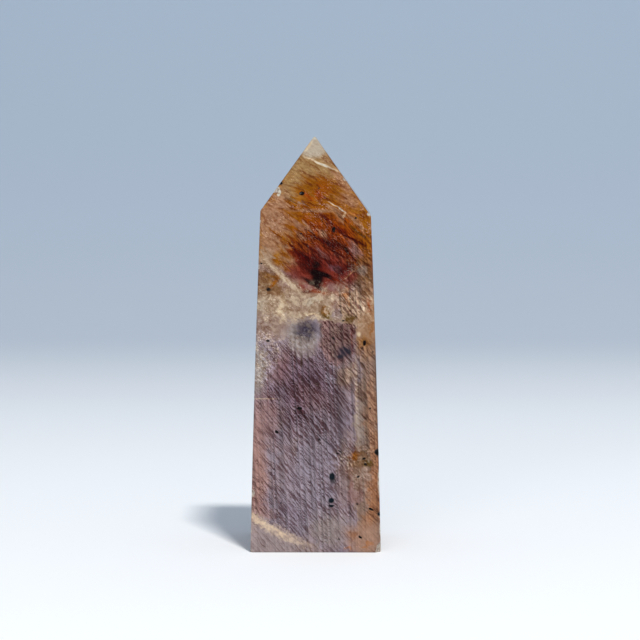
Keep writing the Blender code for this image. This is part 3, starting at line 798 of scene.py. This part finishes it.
        (0.65, -3.0, -11.3, 47.8, 9.0, 5, 3.4, 0, 0.4, 0.85),
        (0.05, 0.6, -11, 54.4, 3.4, 4, 3.6, 15, 0.6, 1.0),
        (0.25, -0.3, 0, 79, 4, 4, 3.6, 0, 0.3, 1.0),
    ],
    # iron plates: the direction that they lie across, spacing and length; last the hatch's detail,
    # or the others' half thickness as a share of the spacing, and where their cells start
    "hatch": ((0.74, 0.35, 0.58), 0.165, 3.1, 1.0),
    "hatchLevels": (0.345, 0.3, 0.95),   # where the hatch starts and is full, and how dark it is
    "hatchGain": 0.2,            # how much denser it is where the plates show most
    "hatchStep": 0.3,            # the growth layers shift the hatch up and down this far
    "finePlates": ((0.74, 0.35, 0.58), 0.4, 3.2, 0.17, (0, 0, 0)),
    "boldPlates": ((0.72, 0.30, 0.62), 1.15, 6.5, 0.09, (5, 9, 4)),
    "crownPlates": ((0.6, 0.33, 0.72), 0.9, 4.2, 0.15, (2, 7, 1)),
    # the painted glints are laid out like tiny plates
    "glints": ((0.6, 0.33, 0.72), 0.34, 0.6, 0.5, (1, 3, 8)),
    "plateRim": 0.62,            # how far from its cell's middle a plate runs out
    "plateEdge": (-0.02, 0.03),  # where its colour starts and is full, across it
    "plateFaintest": 0.6,
    "plateMaroon": "#783c40",    # what a plate leaves of the light behind it
    "plateRust": "#784624",
    "veinTint": "#b88448",
    "veinLevels": (0.52, 0.34, 0.75),    # where the veins start and are full, and how strong
    "laminaNormal": (0.8, 0.6, 0.03),
    "laminaLevels": (0.34, 0.66),        # where the noise of the growth layers starts and ends
    "laminaLight": (0.57, 1.46),         # how much light the dark and the clear layers leave
    "bandMiddle": (15.6, -12.3, 48.1),   # a healed crack on a sphere round this point
    "bandRadius": 50.0,
    "bandInset": 0.3,                    # its middle runs this far inside the sphere
    "bandHalfWidth": (0.6, 2.2),         # on its darkest and its lightest grains
    "bandEnds": (3.0, -8.0),             # it fades in between these places from right to left
    "bandStrength": 0.9,
    "bandGrains": (0.45, 1.2),           # how well it shows on them
    "bandPaint": "sand",
    "underBand": "ash",                  # the stone under it, outside the sphere
    "underFade": 0.6,
    "underStrength": 0.7,
    # painted glints: pale sparkle painted into the colour
    "glintPaint": "pearl",
    "glintLift": "#c8c8c8",              # how far a painted glint lifts the colour that it lies in
    "glintOwn": 0.4,                     # the share of its own paint in a glint
}
crownNormal = stoneLook["crownPlates"][0]    # the flames, veins and mottle follow the crown's plates


def stonePaint(name):
    return paint(stoneLook["paints"][name])


def bendPlace(tree, place, size, reach):
    # shifts a pattern's place about in waves of this size, up to about this far each way
    waves = addNode(tree, "TexNoise", {}, {"Vector": place, "Scale": 1 / size, "Detail": 2.5})
    three = addNode(tree, "SeparateColor", {}, {0: waves.outputs["Color"]})
    wave = addNode(tree, "CombineXYZ", {}, dict(enumerate(three.outputs)))
    swing = reach * 4  # the noise keeps within about a quarter of its middle
    centred = addNode(tree, "VectorMath", {"operation": "SUBTRACT"}, {0: place, 1: [swing / 2] * 3})
    return addNode(tree, "VectorMath", {"operation": "MULTIPLY_ADD"}, {
        0: wave, 1: [swing] * 3, 2: centred})


def patchShare(tree, place, patch):  # how much of a place lies in one soft oval body
    x, y, z, wide, deep, tall, lean, soft, strength = patch
    reach = 1 + soft
    local = addNode(tree, "Mapping", {"vector_type": "TEXTURE"}, {
        "Vector": place, "Location": (x, y, z), "Rotation": (0, math.radians(lean), 0),
        "Scale": (wide * reach, deep * reach, tall * reach)})
    within = addNode(tree, "TexGradient", {"gradient_type": "SPHERICAL"}, {"Vector": local})
    return addNode(tree, "MapRange", smooth, {
        "Value": within.outputs["Fac"], "From Min": 0.0, "From Max": 2 * soft / reach,
        "To Max": strength})


def stain(tree, below, place, patches):  # lays bodies of colour over what is below, one after another
    for name, *patch in patches:
        share = patchShare(tree, place, patch)
        below = addNode(tree, "Mix", blend, {0: share, 6: below, 7: stonePaint(name)})
    return below


def reachOf(tree, start, place, patches):  # the same for an amount
    amount = start
    for value, *patch in patches:
        share = patchShare(tree, place, patch)
        amount = addNode(tree, "Mix", {}, {0: share, 2: amount, 3: value})
    return amount


def runOf(normal):  # the line of the plates in the front of the tower
    return Vector(normal).cross(Vector((0, 1, 0))).normalized()


def plateTurn(normal):  # the turn that lays X across the plates and Y along their line in the front
    across = Vector(normal).normalized()
    run = runOf(across)
    return Matrix((across, run, across.cross(run))).transposed().to_euler()


def layers(tree, place, normal, spacing, length, detail):  # a noise drawn out along sheets
    laid = addNode(tree, "Mapping", {"vector_type": "TEXTURE"}, {
        "Vector": place, "Rotation": plateTurn(normal), "Scale": (spacing, length, length)})
    return addNode(tree, "TexNoise", {}, {
        "Vector": laid, "Scale": 1.0, "Detail": detail, "Roughness": 0.55})


def plates(tree, place, look, amount=1.0):
    # one thin plate in each flat cell of the stone: a face cuts them to short straight lines
    normal, spacing, length, thickness, start = look
    laid = addNode(tree, "Mapping", {"vector_type": "TEXTURE"}, {
        "Vector": place, "Location": start, "Rotation": plateTurn(normal),
        "Scale": (spacing, length, length)})
    cells = addNode(tree, "TexVoronoi", {}, {"Vector": laid, "Scale": 1.0})
    offset = addNode(tree, "VectorMath", {"operation": "SUBTRACT"}, {0: laid, 1: cells.outputs["Position"]})
    # the plate is thickest in the middle of its cell and runs out at its rim
    inPlane = addNode(tree, "VectorMath", times, {0: offset, 1: (0, 1, 1)})
    away = addNode(tree, "VectorMath", {"operation": "LENGTH"}, {0: inPlane})
    half = addNode(tree, "MapRange", {}, {
        "Value": away, "From Max": stoneLook["plateRim"], "To Min": thickness, "To Max": 0.0})
    half = addNode(tree, "Math", times, {0: half, 1: amount})
    split = addNode(tree, "SeparateXYZ", {}, {0: offset})
    across = addNode(tree, "Math", {"operation": "ABSOLUTE"}, {0: split})
    inside = addNode(tree, "Math", {"operation": "SUBTRACT"}, {0: half, 1: across})
    outer, inner = stoneLook["plateEdge"]
    solid = addNode(tree, "MapRange", smooth, {"Value": inside, "From Min": outer, "From Max": inner})
    # some plates are denser than others
    tone = addNode(tree, "SeparateColor", {}, {0: cells.outputs["Color"]})
    weight = addNode(tree, "MapRange", {}, {
        "Value": tone, "To Min": stoneLook["plateFaintest"], "To Max": 1.0})
    return addNode(tree, "Math", times, {0: solid, 1: weight})


def layPlaces(tree):  # the stone's own millimetres, and the bent places that make its borders natural
    own = addNode(tree, "TexCoord", {}, {}).outputs["Object"]
    plain = addNode(tree, "VectorMath", {"operation": "SCALE"}, {0: own, "Scale": 1 / mm})
    drifted = bendPlace(tree, plain, *stoneLook["drift"])
    ragged = bendPlace(tree, drifted, *stoneLook["ragged"])
    jagged = bendPlace(tree, plain, *stoneLook["jagged"])
    # the crown's borders are drawn out along its plates, like flames
    flicker = layers(tree, drifted, crownNormal, *stoneLook["flicker"])
    reach = stoneLook["flickerReach"]
    shift = addNode(tree, "MapRange", {"clamp": False}, {
        "Value": flicker, "To Min": -reach, "To Max": reach})
    along = addNode(tree, "VectorMath", {"operation": "SCALE"}, {
        0: tuple(runOf(crownNormal)), "Scale": shift})
    flamed = addNode(tree, "VectorMath", {"operation": "ADD"}, {0: plain, 1: along})
    flamed = bendPlace(tree, flamed, *stoneLook["flameBend"])
    return {"plain": plain, "drifted": drifted, "ragged": ragged, "jagged": jagged, "flamed": flamed}


def stainZones(tree, places):  # ground clouds, then the zones over them
    clouds = addNode(tree, "TexNoise", {}, {
        "Vector": places["drifted"], "Scale": 1 / stoneLook["cloudSize"], "Detail": 4.0, "Roughness": 0.6})
    ground = addNode(tree, "ValToRGB", {}, {"Fac": clouds})
    stops = ground.color_ramp.elements
    for level, name in stoneLook["ground"]:
        stops.new(level).color = stonePaint(name)
    for end in (-1, 0):  # the ramp's own white and black ends go
        stops.remove(stops[end])
    zones = (("ragged", "zones"), ("ragged", "otherZones"), ("flamed", "flames"),
             ("flamed", "otherFlames"), ("jagged", "sharp"))
    colour = ground
    for place, rows in zones:
        colour = stain(tree, colour, places[place], stoneLook[rows])
    return colour


def fromBand(tree, places):  # 1 on the sphere that the healed crack lies in, more outside it
    sphere = addNode(tree, "Mapping", {"vector_type": "TEXTURE"}, {
        "Vector": places["jagged"], "Location": stoneLook["bandMiddle"],
        "Scale": [stoneLook["bandRadius"]] * 3})
    return addNode(tree, "VectorMath", {"operation": "LENGTH"}, {0: sphere})


def greyUnderBand(tree, colour, away):  # greyer stone under the healed crack
    under = addNode(tree, "MapRange", smooth, {
        "Value": away, "From Min": 1.0, "From Max": 1 + stoneLook["underFade"] / stoneLook["bandRadius"],
        "To Max": stoneLook["underStrength"]})
    return addNode(tree, "Mix", blend, {0: under, 6: colour, 7: stonePaint(stoneLook["underBand"])})


def mottle(tree, colour, grains, sugarAndGlints, places):
    # grains of a millimetre and less: pale and greyer where light, deeper where dark
    streaks = layers(tree, places["plain"], crownNormal, *stoneLook["streaks"])
    both = addNode(tree, "Math", {"operation": "ADD"}, {0: grains, 1: streaks})
    dull, full = stoneLook["mottleLevels"]
    level = addNode(tree, "MapRange", smooth, {"Value": both, "From Min": dull, "From Max": full})
    tone = addNode(tree, "Mix", blend, {
        0: level, 6: (*stoneLook["mottleDark"], 1), 7: (*stoneLook["mottleLight"], 1)})
    return addNode(tree, "Mix", tint, {0: sugarAndGlints, 6: colour, 7: tone}), level


def curdle(tree, colour, places):  # pale curds and brown fissures of the belt
    belt = reachOf(tree, 0.0, places["drifted"], stoneLook["curdReach"])
    curds = addNode(tree, "TexNoise", {}, {
        "Vector": places["ragged"], "Scale": 1 / stoneLook["curdSize"], "Detail": 5.0, "Roughness": 0.65})
    for name, dull, full, strength in stoneLook["curds"]:
        curd = addNode(tree, "MapRange", smooth, {
            "Value": curds, "From Min": dull, "From Max": full, "To Max": strength})
        share = addNode(tree, "Math", times, {0: curd, 1: belt})
        colour = addNode(tree, "Mix", blend, {0: share, 6: colour, 7: stonePaint(name)})
    return colour


def veinCrown(tree, colour, places):  # veins of iron, drawn out like the flames
    vein = layers(tree, places["flamed"], crownNormal, *stoneLook["veins"])
    dull, full, strength = stoneLook["veinLevels"]
    veined = addNode(tree, "MapRange", smooth, {
        "Value": vein, "From Min": dull, "From Max": full, "To Max": strength})
    crown = reachOf(tree, 0.0, places["drifted"], stoneLook["veinReach"])
    share = addNode(tree, "Math", times, {0: veined, 1: crown})
    return addNode(tree, "Mix", tint, {0: share, 6: colour, 7: paint(stoneLook["veinTint"])})


def laminate(tree, colour, lamina, reach):  # growth layers, only in the clear body
    dark, light = stoneLook["laminaLight"]
    dull, full = stoneLook["laminaLevels"]
    level = addNode(tree, "MapRange", {}, {"Value": lamina, "From Min": dull, "From Max": full})
    tone = addNode(tree, "Mix", blend, {0: level, 6: (dark, dark, dark, 1), 7: (light, light, light, 1)})
    return addNode(tree, "Mix", tint, {0: reach, 6: colour, 7: tone})


def layPlates(tree, colour, lamina, reach, places):
    # the finest plates are a hatch, which steps up and down from one growth layer to the next
    high = stoneLook["hatchStep"]
    step = addNode(tree, "MapRange", {"clamp": False}, {"Value": lamina, "To Min": -high, "To Max": high})
    across = tuple(Vector(stoneLook["hatch"][0]).normalized())
    shift = addNode(tree, "VectorMath", {"operation": "SCALE"}, {0: across, "Scale": step})
    stepped = addNode(tree, "VectorMath", {"operation": "ADD"}, {0: places["jagged"], 1: shift})
    hatch = layers(tree, stepped, *stoneLook["hatch"])
    # denser within reach
    thinned = addNode(tree, "Math", {"operation": "MULTIPLY_ADD"}, {
        0: reach, 1: -stoneLook["hatchGain"], 2: hatch})
    dull, full, strength = stoneLook["hatchLevels"]
    hatched = addNode(tree, "MapRange", smooth, {
        "Value": thinned, "From Min": dull, "From Max": full, "To Max": strength})
    # iron plates in three sizes, rust in the sunstone and maroon elsewhere
    rust = reachOf(tree, 0.0, places["drifted"], stoneLook["rustReach"])
    iron = addNode(tree, "Mix", blend, {
        0: rust, 6: paint(stoneLook["plateMaroon"]), 7: paint(stoneLook["plateRust"])})
    crownReach = addNode(tree, "Math", times, {0: reach, 1: rust})
    shown = ((hatched, reach),
             (plates(tree, stepped, stoneLook["finePlates"]), reach),
             (plates(tree, stepped, stoneLook["boldPlates"]), reach),
             (plates(tree, places["jagged"], stoneLook["crownPlates"]), crownReach))
    for cut, where in shown:
        share = addNode(tree, "Math", times, {0: cut, 1: where})
        colour = addNode(tree, "Mix", tint, {0: share, 6: colour, 7: iron})
    return colour


def healCrack(tree, colour, away, grains, level, places):  # the pale band round the left foot
    radius = stoneLook["bandRadius"]
    off = addNode(tree, "Math", {"operation": "SUBTRACT"}, {
        0: away, 1: 1 - stoneLook["bandInset"] / radius})
    off = addNode(tree, "Math", {"operation": "ABSOLUTE"}, {0: off})
    dull, full = stoneLook["grainLevels"]
    thin, thick = stoneLook["bandHalfWidth"]
    half = addNode(tree, "MapRange", {}, {
        "Value": grains, "From Min": dull, "From Max": full,
        "To Min": thin / radius, "To Max": thick / radius})
    band = addNode(tree, "MapRange", smooth, {
        "Value": off, "From Min": half, "From Max": 0.0, "To Max": stoneLook["bandStrength"]})
    split = addNode(tree, "SeparateXYZ", {}, {0: places["plain"]})
    start, end = stoneLook["bandEnds"]
    fade = addNode(tree, "MapRange", smooth, {"Value": split, "From Min": start, "From Max": end})
    sparse, dense = stoneLook["bandGrains"]
    grainy = addNode(tree, "MapRange", {}, {"Value": level, "To Min": sparse, "To Max": dense})
    fade = addNode(tree, "Math", times, {0: fade, 1: grainy})
    share = addNode(tree, "Math", times, {0: band, 1: fade})
    return addNode(tree, "Mix", blend, {0: share, 6: colour, 7: stonePaint(stoneLook["bandPaint"])})


def scatterGlints(tree, colour, sugarAndGlints, places):  # painted glints: pale sparkle painted into the colour in nests, tinged by the stone round them
    crumbled = bendPlace(tree, places["plain"], *stoneLook["crumble"])
    nests = addNode(tree, "TexNoise", {}, {
        "Vector": places["plain"], "Scale": 1 / stoneLook["nestSize"], "Detail": 2.0})
    dull, full, strength = stoneLook["nestLevels"]
    nested = addNode(tree, "MapRange", {}, {
        "Value": nests, "From Min": dull, "From Max": full, "To Max": strength})
    paintedGlintAmount = addNode(tree, "Math", times, {0: nested, 1: sugarAndGlints})
    glints = plates(tree, crumbled, stoneLook["glints"], paintedGlintAmount)
    lifted = addNode(tree, "Mix", {"data_type": "RGBA", "blend_type": "DODGE"}, {
        0: 1.0, 6: colour, 7: paint(stoneLook["glintLift"])})
    glow = addNode(tree, "Mix", blend, {
        0: stoneLook["glintOwn"], 6: lifted, 7: stonePaint(stoneLook["glintPaint"])})
    return addNode(tree, "Mix", blend, {0: glints, 6: colour, 7: glow})


def feldspar():
    # feldspar, sawn and lap-polished: cloudy zones, thin iron plates, pale grains and painted glints
    # are seen sharply through a glassy skin, whose shine is weak beside the colours below it
    material, tree, shader = startMaterial("feldsparLapPolished", stoneLook)
    places = layPlaces(tree)
    colour = stainZones(tree, places)
    away = fromBand(tree, places)
    colour = greyUnderBand(tree, colour, away)
    sugarAndGlints = reachOf(tree, stoneLook["sugarAndGlintsElsewhere"], places["drifted"], stoneLook["sugarAndGlintReach"])
    grains = addNode(tree, "TexNoise", {}, {
        "Vector": places["plain"], "Scale": 1 / stoneLook["grainSize"], "Detail": 4.0, "Roughness": 0.75})
    colour, level = mottle(tree, colour, grains, sugarAndGlints, places)
    colour = curdle(tree, colour, places)
    colour = veinCrown(tree, colour, places)
    lamina = layers(tree, places["plain"], stoneLook["laminaNormal"], *stoneLook["lamina"])
    reach = reachOf(tree, stoneLook["platesElsewhere"], places["drifted"], stoneLook["plateReach"])
    colour = laminate(tree, colour, lamina, reach)
    colour = layPlates(tree, colour, lamina, reach, places)
    colour = healCrack(tree, colour, away, grains, level, places)
    colour = stain(tree, colour, places["jagged"], stoneLook["sunk"])
    # painted glints: pale sparkle painted into the colour
    colour = scatterGlints(tree, colour, sugarAndGlints, places)
    # the polish is glassy on clear stone and a little duller over the cloudy grains
    dull, full = stoneLook["grainLevels"]
    glassy, cloudy = stoneLook["roughness"]
    gloss = addNode(tree, "MapRange", {}, {
        "Value": grains, "From Min": dull, "From Max": full, "To Min": glassy, "To Max": cloudy})
    feed(tree, shader, {"Base Color": colour, "Roughness": gloss})
    return material


hollowLook = {
    "grain": {
        "index": 1.65, "shine": 0.1,
        "grainsPerMm": 5, "detail": 2.0,                       # facets of 0.2 mm
        "colours": ((0.45, "#020101"), (0.75, "#20140f")),     # noise levels and their colours
        "roughness": (0.2, 0.6),
        "relief": None,
    },
    "break": {
        "index": 1.54, "shine": 0.5,
        "grainsPerMm": 3, "detail": 3.0,
        "colours": ((0.38, "#7d6656"), (0.6, "#b5a899")),
        "roughness": (0.45, 0.75),
        "relief": (0.08, 0.6),                                 # depth and strength
    },
}


def grainyHollow(name, look):  # one noise sets the colour, the gloss and the relief of each grain
    material, tree, shader = startMaterial(name, look)
    place = addNode(tree, "TexCoord", {}, {}).outputs["Object"]
    grains = addNode(tree, "TexNoise", {}, {
        "Vector": place, "Scale": look["grainsPerMm"] / mm, "Detail": look["detail"]})
    colours = addNode(tree, "ValToRGB", {}, {"Fac": grains})
    for stop, (level, hexColour) in zip(colours.color_ramp.elements, look["colours"]):
        stop.position = level
        stop.color = paint(hexColour)
    glossy, matt = look["roughness"]
    gloss = addNode(tree, "MapRange", {}, {"Value": grains, "To Min": glossy, "To Max": matt})
    feed(tree, shader, {"Base Color": colours, "Roughness": gloss})
    if look["relief"]:
        depth, strength = look["relief"]
        bump = addNode(tree, "Bump", {}, {"Height": grains, "Strength": strength, "Distance": depth * mm})
        feed(tree, shader, {"Normal": bump})
    return material


def darkGrain():
    # hornblende grains, torn open by the lap: near-black hollows with a dull glint on each facet
    return grainyHollow("hornblendeTornOpen", hollowLook["grain"])


def freshBreak():
    # feldspar, broken after the polish: sugary, paler than the stone and without its gloss
    return grainyHollow("feldsparFreshlyBroken", hollowLook["break"])


finishes = {"stone": feldspar(), "grain": darkGrain(), "break": freshBreak()}
print("mixed the finishes:", len(finishes))
stone = cutBlank()
stone.data.materials.append(finishes["stone"])
polish(stone)
takeOutFlaws(stone, finishes)

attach(stone, "root")
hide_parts("stone_tower")

studio = {
    "cameraPlace": (5.0, -528.4, 83.76),
    "cameraTurn": (90 - 4.295, 0, 0.461),    # degrees
    "lens": 151.7,
    "sensorWidth": 36,
    "clipStart": 10,
    "floorColour": "#f8f7f5",
    # the blue-grey at the wall is painted shade
    "wallPaintedShade": "#a9b7c5",
    "paper": {"index": 1.5, "shine": 0.5, "roughness": 0.9},
    "paintedShadeFrom": 60,          # painted shade: the floor is palest this near the tower and darkest and bluest at the wall
    "wallDistance": 820,
    "wallHeight": 2000,
    "floorHalf": 3000,       # it runs this far to the front and to each side
    "coveRadius": 350,
    "coveSegments": 24,
    "skyColour": "#c3d2e6",
    "skyStrength": 0.5,
    # soft lamps: the direction each one shines from, distance, width, watts, seen in the gloss
    "lamps": {
        "key": ((0.20, -0.58, 1.0), 1500, 170, 16.5, True),
        "fill": ((-0.25, -1.0, 0.22), 1600, 900, 9.2, False),
    },
}


def paperRoll():
    # rolled background paper: a pale white without a shine, with a painted blue-grey shade that deepens
    # towards the wall
    material, tree, shader = startMaterial("paperRolledMatt", studio["paper"])
    place = addNode(tree, "TexCoord", {}, {}).outputs["Object"]
    split = addNode(tree, "SeparateXYZ", {}, {0: place})
    # painted shade: bluer and darker further from the tower
    paintedShade = addNode(tree, "MapRange", smooth, {
        "Value": split.outputs["Y"],
        "From Min": studio["paintedShadeFrom"] * mm, "From Max": studio["wallDistance"] * mm})
    shade = addNode(tree, "Mix", blend, {
        0: paintedShade, 6: paint(studio["floorColour"]), 7: paint(studio["wallPaintedShade"])})
    feed(tree, shader, {"Base Color": shade, "Roughness": studio["paper"]["roughness"]})
    return material


def layFloor():
    bpy.ops.object.select_all(action="DESELECT")
    half = studio["floorHalf"] * mm
    bpy.ops.mesh.primitive_plane_add(size=2 * half, location=(0, 0, 0))
    bpy.ops.object.transform_apply(location=True, rotation=True, scale=True)
    floor = bpy.context.object
    floor.name = "studioFloor"
    bpy.ops.object.mode_set(mode="EDIT")
    bpy.context.tool_settings.mesh_select_mode = (True, False, False)
    selectWhere(floor.data, "vertices", lambda v: v.co.y > 0)
    bpy.ops.transform.translate(value=(0, studio["wallDistance"] * mm - half, 0))
    bpy.ops.mesh.extrude_region_move(TRANSFORM_OT_translate={"value": (0, 0, studio["wallHeight"] * mm)})
    bpy.ops.object.mode_set(mode="OBJECT")
    cove = floor.modifiers.new("cove", "BEVEL")
    cove.width = studio["coveRadius"] * mm
    cove.segments = studio["coveSegments"]
    cove.limit_method = "ANGLE"
    bpy.ops.object.modifier_apply(modifier=cove.name)
    bpy.ops.object.shade_smooth()
    floor.data.materials.append(paperRoll())
    print("laid the floor")


def lightStudio():
    world = bpy.data.worlds.new("paleSky")
    bpy.context.scene.world = world
    world.use_nodes = True
    sky = world.node_tree.nodes["Background"]
    sky.inputs["Color"].default_value = paint(studio["skyColour"])
    sky.inputs["Strength"].default_value = studio["skyStrength"]
    for name, (shinesFrom, distance, width, power, inGloss) in studio["lamps"].items():
        lamp = bpy.data.lights.new(name, "AREA")
        lamp.shape = "DISK"
        lamp.size = width * mm
        lamp.energy = power
        stand = bpy.data.objects.new(name, lamp)
        bpy.context.scene.collection.objects.link(stand)
        direction = Vector(shinesFrom).normalized()
        stand.location = direction * distance * mm
        stand.rotation_euler = direction.to_track_quat("Z", "Y").to_euler()
        stand.visible_glossy = inGloss
    print("hung the lamps:", len(studio["lamps"]))


def setCamera():
    lens = bpy.data.cameras.new("camera")
    lens.lens = studio["lens"]
    lens.sensor_width = studio["sensorWidth"]
    lens.clip_start = studio["clipStart"] * mm
    camera = bpy.data.objects.new("camera", lens)
    bpy.context.scene.collection.objects.link(camera)
    camera.location = Vector(studio["cameraPlace"]) * mm
    camera.rotation_euler = [math.radians(angle) for angle in studio["cameraTurn"]]
    bpy.context.scene.camera = camera
    print("set the camera")


layFloor()
lightStudio()
setCamera()
bpy.context.scene.view_settings.view_transform = "Standard"
